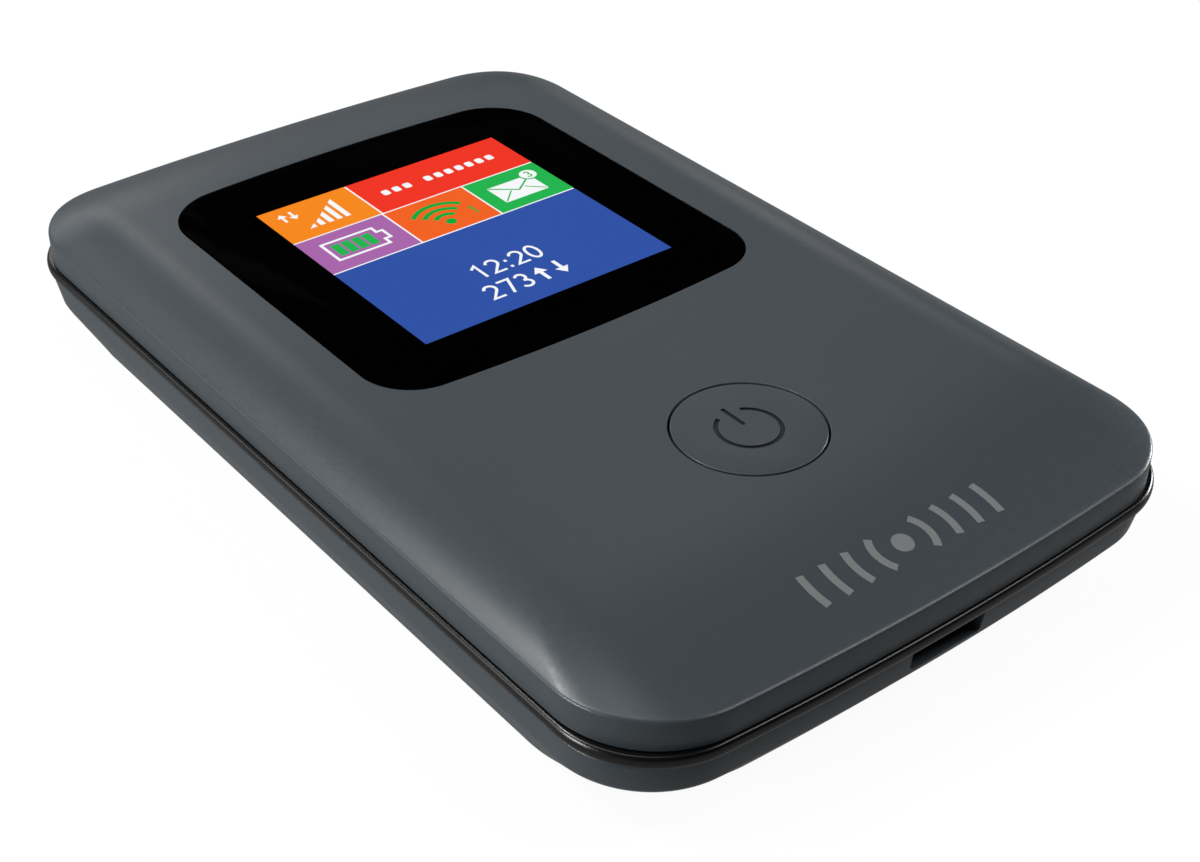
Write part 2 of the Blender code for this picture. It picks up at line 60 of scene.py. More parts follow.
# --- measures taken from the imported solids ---
COVER_LOW, COVER_HIGH = box("front_cover")
TOP_Z = COVER_HIGH[2]
COVER_LOW_Z = 7.65  # rim of the cover; its screw bosses reach lower
HALF_WIDTH = COVER_HIGH[0]
HALF_LENGTH = COVER_HIGH[1]
WINDOW_LOW, WINDOW_HIGH = box("display_window")
BAND_LOW, BAND_HIGH = box("waist_band")
FRAME_LOW, FRAME_HIGH = box("mid_frame")
REAR_HIGH_Z = box("rear_cover")[1][2]
KEY_LOW, KEY_HIGH = box("power_button")
USB_LOW, USB_HIGH = box("usb_shell")
CELL_LOW, CELL_HIGH = box("battery_cell")
CAP_LOW, CAP_HIGH = box("battery_cap")

# --- case shape ---
EDGE_Z = 10.0  # crisp edge between the domed face and the side wall
FACE_DROP = TOP_Z - EDGE_Z
CORNER = 8.6  # plan radius of the crisp edge's corners
CORNER_RISE = 0.16  # how much higher the crisp edge runs in the middle of a corner
CORNER_SHARE = 0.55  # how much of an inset at the sides a corner's radius loses
END_BOW = 294.0  # radius of the bowed ends
SKIN = 1.2
ROLL_SIDE = 6.2  # how far in from the edge the face becomes flat, at the sides
ROLL_FRONT = 16.0
ROLL_BACK = 10.7
ROLL_BLEND = 1.15  # how softly the rolls meet at a corner: 1 adds them up
EDGE_RISE = 0.1  # how far above the crisp edge its small round begins
EDGE_SINK = 0.2  # how far below it the round ends
BAND_CORNER = 7.9
BAND_HIGH_Z = 7.5
BAND_CREST_Z = 6.95  # where it bulges most
BAND_EDGE_Z = 6.42  # where it meets the rear shell's lip
BAND_LOW_Z = BAND_LOW[2]
BAND_BULGE = BAND_HIGH[0] - HALF_WIDTH
BAND_STEP = 1.05  # inset at which its underside steps down behind that lip
DECK_HIGH_Z = FRAME_HIGH[2]
DECK_LOW_Z = DECK_HIGH_Z - 0.7
DECK_CORNER = 8.0
SKIRT_Z = FRAME_LOW[2]
SKIRT_INSET = 2.9  # outside of the skirt
WINDOW_CORNERS = (4.8, 5.8)  # front and back
WINDOW_BOW = 192.0  # radius of its bowed ends
KEY = ((KEY_LOW[0] + KEY_HIGH[0]) / 2, (KEY_LOW[1] + KEY_HIGH[1]) / 2)
KEY_RADIUS = 5.93
KEY_HOLE_RADIUS = 6.12
HOOKS_Y = (-24.0, 0.0, 24.0)  # snap hooks along each side of the rear cover
HOOK_REACH = 2.0  # half of a hook's length
HOOK_LOW_Z = 4.45
HOOK_HIGH_Z = 5.15
SCREWS = {name: box("screw_" + name) for name in ("back_left", "back_right", "front_left", "front_right")}
SCREW_SPOTS = {name: ((low[0] + high[0]) / 2, (low[1] + high[1]) / 2)
               for name, (low, high) in SCREWS.items()}
USB_X = (USB_LOW[0] + USB_HIGH[0]) / 2
CONTACTS_X = [(low[0] + high[0]) / 2 for low, high in (box(f"contact_blade_{i}") for i in (1, 2, 3))]


# --- outlines ---
def arc(centre, radius, start, end, steps):
    """Points on an arc, both ends included."""
    turns = [start + (end - start) * i / steps for i in range(steps + 1)]
    return [(centre[0] + radius * math.cos(t), centre[1] + radius * math.sin(t)) for t in turns]


def circle(centre, radius, steps):
    return arc(centre, radius, 0, 2 * math.pi * (steps - 1) / steps, steps - 1)


def quarter(steps):
    """Angles of a quarter turn, both ends included."""
    return [math.pi / 2 * i / steps for i in range(steps + 1)]


def bowed_rect(half_width, front, back, corner, bow):
    """Plan outline with straight long sides, gently bowed ends and round corners, counter-clockwise."""
    corner_steps, end_steps, side_steps = 32, 20, 16
    middle = (front + back) / 2
    inset = half_width - corner
    bow_centre = (back - front) / 2 - bow
    corner_y = bow_centre + math.sqrt((bow - corner) ** 2 - inset**2)
    meet = math.atan2(corner_y - bow_centre, inset)
    side = [(half_width, corner_y * (2 * i / side_steps - 1)) for i in range(1, side_steps)]
    right = arc((inset, corner_y), corner, 0, meet, corner_steps)
    end = arc((0, bow_centre), bow, meet, math.pi - meet, end_steps)
    half = side + right + end[1:-1] + [(-x, y) for x, y in reversed(right)]
    return [(x, middle + y) for x, y in half] + [(-x, middle - y) for x, y in half]


def case_outline(side, front=None, back=None, corner=None):
    """The front cover's plan at its edge, moved in by these insets."""
    front = side if front is None else front
    back = side if back is None else back
    corner = CORNER - side if corner is None else corner
    return bowed_rect(HALF_WIDTH - side, front - HALF_LENGTH, HALF_LENGTH - back, corner, END_BOW)


def window_outline(grow):
    """Plan of the window, grown by this much. Its back corners are rounder than its front ones."""
    front, back = [bowed_rect(WINDOW_HIGH[0] + grow, WINDOW_LOW[1] - grow, WINDOW_HIGH[1] + grow,
                              corner + grow, WINDOW_BOW) for corner in WINDOW_CORNERS]
    middle = (WINDOW_LOW[1] + WINDOW_HIGH[1]) / 2
    return [far if far[1] > middle else near for near, far in zip(front, back)]


def round_rect(low, high, corner, steps=6):
    (x0, y0), (x1, y1) = low, high
    spots = ((x1 - corner, y1 - corner), (x0 + corner, y1 - corner),
             (x0 + corner, y0 + corner), (x1 - corner, y0 + corner))
    points = []
    for i, spot in enumerate(spots):
        points += arc(spot, corner, i * math.pi / 2, (i + 1) * math.pi / 2, steps)
    return points


def at(points, z):
    return [(x, y, z) for x, y in points]


# --- meshes ---
def link(name, mesh, material=None):
    made = bpy.data.objects.new(name, mesh)
    bpy.context.scene.collection.objects.link(made)
    if material:
        mesh.materials.append(material)
    return made


def smooth(made):
    made.data.shade_smooth()
    made.data.set_sharp_from_angle(angle=math.radians(30))
    return made


def add_loft(shape, rings, slot=0, looped=False):
    """Faces through rings of equal count. The ends are capped, or else the last ring meets the first."""
    rows = [[shape.verts.new([v * MM for v in point]) for point in ring] for ring in rings]
    count = len(rows[0])
    faces = []
    if looped:
        rows.append(rows[0])
    for low, high in zip(rows, rows[1:]):
        for i in range(count):
            j = (i + 1) % count
            faces.append(shape.faces.new((low[i], low[j], high[j], high[i])))
    if not looped:
        faces.append(shape.faces.new(reversed(rows[0])))
        faces.append(shape.faces.new(rows[-1]))
    for face in faces:
        face.material_index = slot
    bmesh.ops.recalc_face_normals(shape, faces=faces)
    return faces


def finish_mesh(name, shape, material=None):
    mesh = bpy.data.meshes.new(name)
    shape.to_mesh(mesh)
    shape.free()
    return smooth(link(name, mesh, material))


def loft(name, rings, material=None, looped=False):
    shape = bmesh.new()
    add_loft(shape, rings, looped=looped)
    return finish_mesh(name, shape, material)


def slab_rings(outline, low, high, edge=0.0):
    """Rings of a plate of one outline. With an edge, its rims are rounded."""
    if not edge:
        return [at(outline, low), at(outline, high)]
    cx = sum(x for x, _ in outline) / len(outline)
    cy = sum(y for _, y in outline) / len(outline)
    wide = max(x for x, _ in outline) - cx
    tall = max(y for _, y in outline) - cy

    def ring(inset, z):
        across, along = 1 - inset / wide, 1 - inset / tall
        return [(cx + (x - cx) * across, cy + (y - cy) * along, z) for x, y in outline]

    turns = quarter(3)
    lower = [ring(edge * (1 - math.sin(t)), low + edge * (1 - math.cos(t))) for t in turns]
    upper = [ring(edge * (1 - math.cos(t)), high - edge * (1 - math.sin(t))) for t in turns]
    return lower + upper


def slab(name, outline, low, high, material=None, edge=0.0):
    return loft(name, slab_rings(outline, low, high, edge), material)


def block(name, low, high, corner=0.2):
    return slab(name, round_rect(low[:2], high[:2], corner, 4), low[2], high[2])


def turned(name, centre, profile, material=None, steps=128):
    return loft(name, [at(circle(centre, radius, steps), z) for radius, z in profile], material)


def rod(name, centre, radius, low, high, steps=64):
    return turned(name, centre, [(radius, low), (radius, high)], steps=steps)


def combine(target, tools, operation):
    """Cuts or joins, and leaves the result as the target's plain mesh."""
    for tool in tools:
        change = target.modifiers.new(tool.name, "BOOLEAN")
        change.operation = operation
        change.solver = "EXACT"
        change.object = tool
    bpy.context.view_layer.update()
    graph = bpy.context.evaluated_depsgraph_get()
    mesh = bpy.data.meshes.new_from_object(target.evaluated_get(graph))
    target.modifiers.clear()
    target.data = mesh
    for tool in tools:
        bpy.data.objects.remove(tool, do_unlink=True)
    return smooth(target)


def cut(target, *tools):
    return combine(target, tools, "DIFFERENCE")


def join(target, *tools):
    return combine(target, tools, "UNION")


# --- materials ---
def shader_of(name, colour, roughness, metallic=0.0):
    made = bpy.data.materials.new(name)
    made.use_nodes = True
    tree = made.node_tree
    shader = tree.nodes["Principled BSDF"]
    shader.inputs["Base Color"].default_value = (*colour, 1.0)
    shader.inputs["Roughness"].default_value = roughness
    shader.inputs["Metallic"].default_value = metallic
    return made, tree, shader


def noise(tree, scale, detail, stretch):
    """Noise in object space. Scale is in features per metre."""
    where = tree.nodes.new("ShaderNodeTexCoord")
    place = tree.nodes.new("ShaderNodeMapping")
    place.inputs["Scale"].default_value = stretch
    texture = tree.nodes.new("ShaderNodeTexNoise")
    texture.inputs["Scale"].default_value = scale
    texture.inputs["Detail"].default_value = detail
    tree.links.new(where.outputs["Object"], place.inputs["Vector"])
    tree.links.new(place.outputs["Vector"], texture.inputs["Vector"])
    return texture.outputs["Fac"]


def remapped(tree, source, low, high, to_low, to_high):
    """Maps a value from one range onto another."""
    remap = tree.nodes.new("ShaderNodeMapRange")
    remap.inputs["From Min"].default_value = low
    remap.inputs["From Max"].default_value = high
    remap.inputs["To Min"].default_value = to_low
    remap.inputs["To Max"].default_value = to_high
    tree.links.new(source, remap.inputs["Value"])
    return remap.outputs["Result"]


def blend_colour(tree, factor, first, second):
    mix = tree.nodes.new("ShaderNodeMix")
    mix.data_type = "RGBA"
    mix.inputs["A"].default_value = (*first, 1.0)
    mix.inputs["B"].default_value = (*second, 1.0)
    tree.links.new(factor, mix.inputs["Factor"])
    return mix.outputs["Result"]


def bump(tree, shader, height, depth):
    node = tree.nodes.new("ShaderNodeBump")
    node.inputs["Distance"].default_value = depth
    tree.links.new(height, node.inputs["Height"])
    tree.links.new(node.outputs["Normal"], shader.inputs["Normal"])


def scaled(colour, factor):
    return tuple(v * factor for v in colour)


def surface(name, colour, roughness, metallic=0.0, grain=2500.0, depth=0.000004, vary=0.06,
            stretch=(1, 1, 1), unevenness=0.12):
    """A finish with fine grain, slightly uneven colour and slightly uneven gloss. Grain is in features
    per metre, depth in metres, and vary and unevenness are shares of the colour and the roughness."""
    made, tree, shader = shader_of(name, colour, roughness, metallic)
    clouds = noise(tree, 90.0, 3.0, stretch)
    tint = blend_colour(tree, clouds, scaled(colour, 1 - vary), scaled(colour, 1 + vary))
    tree.links.new(tint, shader.inputs["Base Color"])
    fine = noise(tree, grain, 2.0, stretch)
    gloss = remapped(tree, fine, 0.3, 0.7, roughness * (1 - unevenness), roughness * (1 + unevenness))
    tree.links.new(gloss, shader.inputs["Roughness"])
    bump(tree, shader, fine, depth)
    return made


def make_materials():
    slate = (0.0553, 0.0683, 0.079)
    return {
        "slate": surface("slate_plastic", slate, 0.34, grain=3200.0, depth=0.0000025, vary=0.03),
        "mark": surface("grey_print", (0.2, 0.215, 0.22), 0.5, vary=0.02),
        # the key symbol's grooves take slate darkened to a third: painted shade in the grooves
        "key_groove_shade": surface("key_groove_painted_shade", scaled(slate, 0.3), 0.5, vary=0.02),
        "band": surface("black_gloss_plastic", (0.006, 0.006, 0.006), 0.25, grain=900.0, depth=0.0,
                        vary=0.1, unevenness=0.02),
        "glass": make_window_finish(),
        "white": surface("white_plastic", (0.78, 0.78, 0.75), 0.5),
        "steel": surface("tinned_steel", (0.62, 0.61, 0.58), 0.34, 1.0, grain=900.0, depth=0.000004,
                         stretch=(1, 9, 1)),
        "gold": surface("gold_plating", (0.83, 0.58, 0.22), 0.26, 1.0, grain=1500.0, depth=0.000002),
        "dark": surface("dark_resin", (0.014, 0.014, 0.015), 0.5, grain=2600.0, depth=0.000006),
        "foam": surface("black_foam", (0.012, 0.012, 0.012), 0.9, grain=5000.0, depth=0.00002, vary=0.2),
        "chip": surface("chip_resin", (0.022, 0.022, 0.024), 0.55, grain=6000.0, depth=0.000006),
        "ceramic": surface("capacitor_ceramic", (0.32, 0.2, 0.11), 0.45, grain=4000.0, vary=0.12),
        "solder": surface("solder", (0.72, 0.72, 0.72), 0.28, 1.0, grain=2200.0, depth=0.000008),
        "screw": surface("black_zinc", (0.1, 0.1, 0.1), 0.32, 1.0, grain=1800.0, depth=0.000004),
        "wrap": surface("battery_film", (0.045, 0.048, 0.055), 0.38, grain=260.0, depth=0.00002, vary=0.08),
        "label": surface("battery_label", (0.62, 0.63, 0.64), 0.45, grain=2600.0, depth=0.000003,
                         vary=0.02),
        "label_ink": surface("label_ink", (0.09, 0.1, 0.11), 0.5, vary=0.03),
        "label_bar": surface("label_colour_bar", (0.03, 0.12, 0.3), 0.45, vary=0.03),
        "card": surface("card_plastic", (0.82, 0.82, 0.8), 0.35, vary=0.02),
        "flex": make_flex_film(),
        "board": make_board_mask(),
    }


WINDOW_ROUGHNESS = 0.08
WINDOW_SPECULAR = 0.0005  # the anti-glare coat mirrors next to nothing


def make_window_finish():
    """Black-backed acrylic with an anti-glare coat."""
    made = surface("black_acrylic", (0.0004, 0.0004, 0.0004), WINDOW_ROUGHNESS, grain=160.0, depth=0.0,
                   vary=0.1)
    shader = made.node_tree.nodes["Principled BSDF"]
    shader.inputs["Specular IOR Level"].default_value = WINDOW_SPECULAR
    return made


def make_flex_film():
    """Amber film with copper tracks along it."""
    made, tree, shader = shader_of("amber_film", (0.45, 0.19, 0.03), 0.3)
    where = tree.nodes.new("ShaderNodeTexCoord")
    wave = tree.nodes.new("ShaderNodeTexWave")
    wave.bands_direction = "X"
    wave.inputs["Scale"].default_value = 320.0
    tree.links.new(where.outputs["Object"], wave.inputs["Vector"])
    tracks = wave.outputs["Fac"]
    tint = blend_colour(tree, tracks, (0.32, 0.12, 0.02), (0.62, 0.3, 0.06))
    tree.links.new(tint, shader.inputs["Base Color"])
    bump(tree, shader, tracks, 0.000006)
    return made


def make_board_mask():
    """Green solder mask with a net of tracks showing through."""
    made, tree, shader = shader_of("solder_mask", (0.008, 0.1, 0.04), 0.32)
    where = tree.nodes.new("ShaderNodeTexCoord")
    tracks = tree.nodes.new("ShaderNodeTexBrick")
    tracks.inputs["Scale"].default_value = 260.0
    tracks.inputs["Mortar Size"].default_value = 0.05
    tracks.inputs["Color1"].default_value = (0.007, 0.09, 0.036, 1)
    tracks.inputs["Color2"].default_value = (0.01, 0.115, 0.046, 1)
    tracks.inputs["Mortar"].default_value = (0.03, 0.2, 0.08, 1)
    tree.links.new(where.outputs["Object"], tracks.inputs["Vector"])
    tree.links.new(tracks.outputs["Color"], shader.inputs["Base Color"])
    bump(tree, shader, tracks.outputs["Fac"], 0.000015)
    return made


def lit(name, colour):
    """A lit patch of the display under its window."""
    made, _, shader = shader_of(name, (0.002, 0.002, 0.002), WINDOW_ROUGHNESS)
    shader.inputs["Specular IOR Level"].default_value = WINDOW_SPECULAR
    shader.inputs["Emission Color"].default_value = (*colour, 1.0)
    shader.inputs["Emission Strength"].default_value = 1.0
    return made


def srgb(r, g, b):
    """Linear colour from 8-bit screen values, all of them above the curve's straight start."""
    return tuple(((v / 255 + 0.055) / 1.055) ** 2.4 for v in (r, g, b))


# --- front cover ---
def roll_radius(reach):
    """Radius of the roll that brings the face down to its edge within this reach."""
    return (reach**2 + FACE_DROP**2) / (2 * FACE_DROP)


def roll_inset(reach, fall):
    """How far in from its edge a face that rolls off over reach has fallen by fall."""
    return reach - math.sqrt(max(2 * roll_radius(reach) * fall - fall**2, 0.0))


def roll_insets(fall):
    """The same for the sides, the front and the back."""
    return [roll_inset(reach, fall) for reach in (ROLL_SIDE, ROLL_FRONT, ROLL_BACK)]


def roll_fall(reach, inset):
    """How far a face that rolls off over reach has fallen, this far in from its edge."""
    radius = roll_radius(reach)
    away = min(max(reach - inset, 0.0), reach)
    return radius - math.sqrt(radius**2 - away**2)


def face_fall(x, y):
    """How far the face has fallen at this place. The rolls of a side and an end meet softly."""
    side = roll_fall(ROLL_SIDE, HALF_WIDTH - abs(x))
    end = roll_fall(ROLL_FRONT if y < 0 else ROLL_BACK, HALF_LENGTH - abs(y) - x**2 / (2 * END_BOW))
    return (side**ROLL_BLEND + end**ROLL_BLEND) ** (1 / ROLL_BLEND)


def face_outline(skin, fall):
    """Plan of a line round the face, along which its sides and its ends have fallen by the same."""
    side, front, back = [skin + inset for inset in roll_insets(fall)]
    return case_outline(side, front, back, CORNER - skin - CORNER_SHARE * (side - skin))


def corner_lifts():
    """Extra height of the crisp edge at each point of its outline: most at 45 degrees."""
    outline = case_outline(0)
    lifts = []
    for i in range(len(outline)):
        (x0, y0), (x1, y1) = outline[i - 1], outline[(i + 1) % len(outline)]
        turn = 2 * (x1 - x0) * (y1 - y0) / ((x1 - x0) ** 2 + (y1 - y0) ** 2)
        lifts.append(CORNER_RISE * turn**2)
    return lifts


def edge_rings():
    """The small round where the domed face turns into the side wall."""
    insets = roll_insets(FACE_DROP - EDGE_RISE)
    lifts = corner_lifts()
    steps = 6
    rings = []
    for i in range(steps + 1):
        t = i / steps
        share = (1 - t) ** 2
        side, front, back = [inset * share for inset in insets]
        z = EDGE_Z + EDGE_RISE * share - EDGE_SINK * t**2
        outline = case_outline(side, front, back, CORNER - CORNER_SHARE * side)
        rings.append([(x, y, z + lift) for (x, y), lift in zip(outline, lifts)])
    return rings


def face_rings():
    """Lines round the face, from its flat middle down to the start of its edge's round."""
    reach_fall = FACE_DROP - EDGE_RISE
    scales = [(reach_fall - lift) / face_fall(x, y)
              for (x, y), lift in zip(face_outline(0, reach_fall), corner_lifts())]
    margin = 0.7
    flat = case_outline(ROLL_SIDE + margin, ROLL_FRONT + margin, ROLL_BACK + margin, 5.2)
    rings = [at(flat, TOP_Z)]
    steps = 22
    for i in range(steps + 1):
        fall = FACE_DROP * (i / steps) ** 2
        if fall < reach_fall - 0.02:
            rings.append([(x, y, TOP_Z - scale * face_fall(x, y))
                          for (x, y), scale in zip(face_outline(0, fall), scales)])
    return rings


def make_front_cover(materials):
    """A domed shell with a seat for the window, a hole for the key and bosses for the screws."""
    lip = 0.04
    rim = [at(case_outline(0), COVER_LOW_Z + lip), at(case_outline(0.3 * lip), COVER_LOW_Z + 0.3 * lip),
           at(case_outline(lip), COVER_LOW_Z), at(case_outline(SKIN), COVER_LOW_Z)]
    falls = [FACE_DROP * (1 - i / 6) ** 2 for i in range(7)]
    inner = [[(x, y, TOP_Z - SKIN - face_fall(x, y)) for x, y in face_outline(SKIN, fall)]
             for fall in falls]
    cover = loft("front_shell", face_rings() + edge_rings() + rim + inner, materials["slate"])

    seat_z = TOP_Z - 1.0
    ledge_z = seat_z - 0.8
    well_z, guide_z, boss_back_z, boss_front_z = 9.0, 9.9, 10.7, 10.2
    ledge = slab("ledge", round_rect((-20.6, -6.9), (20.6, 34.6), 5.0), ledge_z, TOP_Z - SKIN + 0.1)
    guide = rod("guide", KEY, 8.4, guide_z, guide_z + 1.0)
    bosses = [rod("boss_" + name, spot, 2.3, COVER_LOW[2], boss_back_z if spot[1] > 0 else boss_front_z, 40)
              for name, spot in SCREW_SPOTS.items()]
    join(cover, ledge, guide, *bosses)

    soft = 0.07
    wide = KEY_HOLE_RADIUS + soft
    hole = [(KEY_HOLE_RADIUS, well_z), (KEY_HOLE_RADIUS, TOP_Z - soft),
            (KEY_HOLE_RADIUS + 0.3 * soft, TOP_Z - 0.3 * soft), (wide, TOP_Z + 0.01), (wide, TOP_Z + 1)]
    tools = [slab("seat", window_outline(0.1), seat_z, TOP_Z + 1),
             slab("opening", round_rect((-15.2, -2.9), (15.2, 29.5), 0.8), ledge_z - 1, TOP_Z),
             turned("hole", KEY, hole),
             rod("well", KEY, 7.3, well_z, TOP_Z - SKIN)]
    tools += [rod("pilot_" + name, spot, 0.95, 7.0, boss_front_z, 32) for name, spot in SCREW_SPOTS.items()]
    cut(cover, *tools)
    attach(cover, "housing")
    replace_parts(cover, "front_cover")


def make_face_mark(materials):
    """A printed motif on the front of the face: a dot between rising pairs of arcs."""
    centre = (0.0, -39.5)
    half_height = 1.52
    stroke = 0.62
    shape = bmesh.new()

    def drape(points, lift):
        return [(x, y, TOP_Z - face_fall(x, y) + lift) for x, y in points]

    under, over = -0.03, 0.012
    for middle in (0, math.pi):
        for radius in (2.5, 4.55, 6.6, 8.65):
            reach = math.asin(half_height / radius)
            inner, outer = [arc(centre, radius + side * stroke / 2, middle - reach, middle + reach, 20)
                            for side in (-1, 1)]
            add_loft(shape, [drape((near, far), under) + drape((far, near), over)
                             for near, far in zip(inner, outer)])
    dot = circle(centre, 0.85, 32)
    add_loft(shape, [drape(dot, under), drape(dot, over)])
    mark = finish_mesh("face_mark", shape, materials["mark"])
    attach(mark, "housing")


# --- power key ---
def make_power_key(materials):
    """A round cap with a flange under the face and the power symbol sunk into its top."""
    edge = 0.1
    stem, stem_z, flange, flange_z = 1.5, 10.15, 6.9, 10.6
    profile = [(stem, KEY_LOW[2]), (stem, stem_z), (flange, stem_z), (flange, flange_z),
               (KEY_RADIUS, flange_z)]
    profile += [(KEY_RADIUS - edge * (1 - math.cos(t)), TOP_Z - edge * (1 - math.sin(t))) for t in quarter(4)]
    key = turned("power_key_cap", KEY, profile, materials["slate"])
    key.data.materials.append(materials["key_groove_shade"])

    half, radius, depth = 0.18, 2.5, 0.13
    gap = math.radians(26)
    start, end = math.pi / 2 + gap, math.pi * 5 / 2 - gap
    ring = arc(KEY, radius + half, start, end, 48) + arc(KEY, radius - half, end, start, 48)
    bar = round_rect((KEY[0] - half, KEY[1] + 0.5), (KEY[0] + half, KEY[1] + 3.1), 0.9 * half)
    tools = [slab("symbol", outline, TOP_Z - depth, TOP_Z + 1) for outline in (ring, bar)]
    for tool in tools:
        # the groove walls and floors take the darker slate as painted shade
        for finish in ("slate", "key_groove_shade"):
            tool.data.materials.append(materials[finish])
        for face in tool.data.polygons:
            face.material_index = 1
    cut(key, *tools)
    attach(key, "power_key")
    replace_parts(key, "power_button")


# --- window and lit display ---
SCREEN = (0.2, 13.9)  # middle of the lit area
SCREEN_HALF = (12.75, 13.2)


def make_window(materials):
    pane = slab("window_pane", window_outline(0.0), WINDOW_LOW[2], TOP_Z, materials["glass"], 0.04)
    low = (SCREEN[0] - SCREEN_HALF[0], SCREEN[1] - SCREEN_HALF[1])
    high = (SCREEN[0] + SCREEN_HALF[0], SCREEN[1] + SCREEN_HALF[1])
    cut(pane, slab("screen_recess", round_rect(low, high, 0.05, 1), TOP_Z - 0.12, TOP_Z + 1))
    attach(pane, "housing")
    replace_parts(pane, "display_window")


def oval(centre, wide, tall, start, end, steps):
    return [(centre[0] + wide * x, centre[1] + tall * y) for x, y in arc((0, 0), 1, start, end, steps)]


# Centre lines of digits, in a box of height 1.
DIGITS = {
    "0": [oval((0.28, 0.5), 0.24, 0.46, 0.01, 2 * math.pi - 0.01, 32)],
    "1": [[(0.1, 0.76), (0.34, 0.96), (0.34, 0.0)]],
    "2": [oval((0.28, 0.7), 0.24, 0.26, 2.9, -0.65, 14) + [(0.04, 0.04), (0.56, 0.04)]],
    "3": [oval((0.27, 0.73), 0.2, 0.23, 2.7, -1.57, 14), oval((0.27, 0.27), 0.24, 0.23, 1.57, -2.7, 14)],
    "7": [[(0.02, 0.96), (0.54, 0.96), (0.22, 0.0)]],
    ":": [[(0.12, 0.02), (0.12, 0.16)], [(0.12, 0.5), (0.12, 0.64)]],
}


class Picture:
    """Flat shapes of several colours on the display, gathered into one mesh."""

    def __init__(self, low, high):
        self.shape = bmesh.new()
        self.low = low
        self.high = high
        self.colours = []

    def slot(self, colour):
        if colour not in self.colours:
            self.colours.append(colour)
        return self.colours.index(colour)

    def patch(self, outline, colour, raise_by=0.0):
        placed = [(SCREEN[0] + x, SCREEN[1] + y) for x, y in outline]
        rings = [at(placed, self.low + raise_by), at(placed, self.high + raise_by)]
        add_loft(self.shape, rings, self.slot(colour))

    def rect(self, x0, y0, x1, y1, colour, corner=0.0):
        if corner:
            self.patch(round_rect((x0, y0), (x1, y1), corner, 3), colour)
        else:
            self.patch([(x0, y0), (x1, y0), (x1, y1), (x0, y1)], colour)

    def stroke(self, points, width, colour, raise_by=0.0):
        """A stroke of even width along a path, with mitred bends."""
        spots = [Vector(point) for point in points]
        runs = [(after - before).normalized() for before, after in zip(spots, spots[1:])]
        left, right = [], []
        for i, spot in enumerate(spots):
            before, after = runs[max(i - 1, 0)], runs[min(i, len(runs) - 1)]
            across = Vector((-(before + after).y, (before + after).x)).normalized()
            reach = width / 2 / max(across.dot(Vector((-after.y, after.x))), 0.5)
            left.append(tuple(spot + across * reach))
            right.append(tuple(spot - across * reach))
        self.patch(right + left[::-1], colour, raise_by)

    def digits(self, text, x, y, height, width, colour, raise_by=0.0):
        """Plain digits drawn as strokes, from their lower left corner."""
        for sign in text:
            for path in DIGITS[sign]:
                points = [(x + u * height, y + v * height) for u, v in path]
                self.stroke(points, width, colour, raise_by)
            x += height * (0.4 if sign == ":" else 0.72)

    def finish(self, name, palette):
        bmesh.ops.remove_doubles(self.shape, verts=self.shape.verts, dist=1e-7)
        made = finish_mesh(name, self.shape)
        for colour in self.colours:
            made.data.materials.append(palette[colour])
        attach(made, "housing")
        return made


def make_palette():
    """The display's colours, given as 8-bit screen values."""
    colours = {
        "white": (246, 248, 250), "orange": (247, 137, 31), "red": (240, 54, 37),
        "purple": (169, 103, 171), "vermilion": (242, 98, 36), "green": (36, 180, 79),
        "leaf": (20, 168, 60), "blue": (48, 82, 165),
    }
    return {name: lit("display_" + name, srgb(*value)) for name, value in colours.items()}


def make_screen(palette):
    """A white ground with six tiles, so that the ground shows as thin lines between them."""
    tiles = Picture(TOP_Z - 0.06, TOP_Z - 0.03)
    half_x, half_y = SCREEN_HALF
    upper_y, lower_y, line = 7.0, 0.6, 0.2
    tiles.rect(-half_x, upper_y, -3.7, half_y, "orange")
    tiles.rect(-3.7 + line, upper_y, half_x, half_y, "red")
    tiles.rect(-half_x, lower_y, -3.8, upper_y - line, "purple")
    tiles.rect(-3.8 + line, lower_y, 4.7, upper_y - line, "vermilion")
    tiles.rect(4.7 + line, lower_y, half_x, upper_y - line, "green")
    tiles.rect(-half_x, -half_y, half_x, lower_y - line, "blue")
    tiles.finish("display_tiles", palette)

    ground = Picture(TOP_Z - 0.11, TOP_Z - 0.07)
    ground.rect(-half_x, -half_y, half_x, half_y, "white")
    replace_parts(ground.finish("display_ground", palette), "lcd_panel")

    marks = Picture(TOP_Z - 0.025, TOP_Z - 0.01)
    draw_signal(marks)
    draw_headline(marks)
    draw_battery(marks)
    draw_wireless(marks)
    draw_envelope(marks)
    height, stroke, clock_y, count_y = 2.2, 0.26, -7.6, -11.0
    marks.digits("12:20", -3.4, clock_y, height, stroke, "white")
    marks.digits("273", -4.4, count_y, height, stroke, "white")
    draw_arrow(marks, 1.3, count_y, height, 1)
    draw_arrow(marks, 3.2, count_y, height, -1)
    marks.finish("display_symbols", palette)


def draw_arrow(picture, x, y, height, way):
    """A thin upright arrow. way is 1 for up and -1 for down."""
    width = 0.16 * height
    tip, tail = (y + height, y) if way > 0 else (y, y + height)
    wing = tip - way * 0.42 * height
    shaft = sorted((tail, tip - way * 0.25 * height))
    picture.rect(x - width / 2, shaft[0], x + width / 2, shaft[1], "white")
    head = [(x, tip), (x - 0.3 * height, wing), (x + 0.3 * height, wing)]
    picture.patch(head if way > 0 else head[::-1], "white", 0.005)


def draw_signal(picture):
    """A small wedge and four bars under one slanting line, after a pair of arrows."""
    left, low, slope, width, pitch = -9.9, 8.4, 0.9, 0.5, 0.87
    picture.patch([(left - 0.2, low), (left + width, low), (left + width, low + 0.62)], "white")
    for i in range(1, 5):
        x = left + pitch * i
        rise = slope * pitch * i
        picture.patch([(x, low), (x + width, low), (x + width, low + rise + slope * width), (x, low + rise)],
                      "white")
    for x, way in ((-11.1, 1), (-10.1, -1)):
        draw_arrow(picture, x, 10.6, 1.5, way)


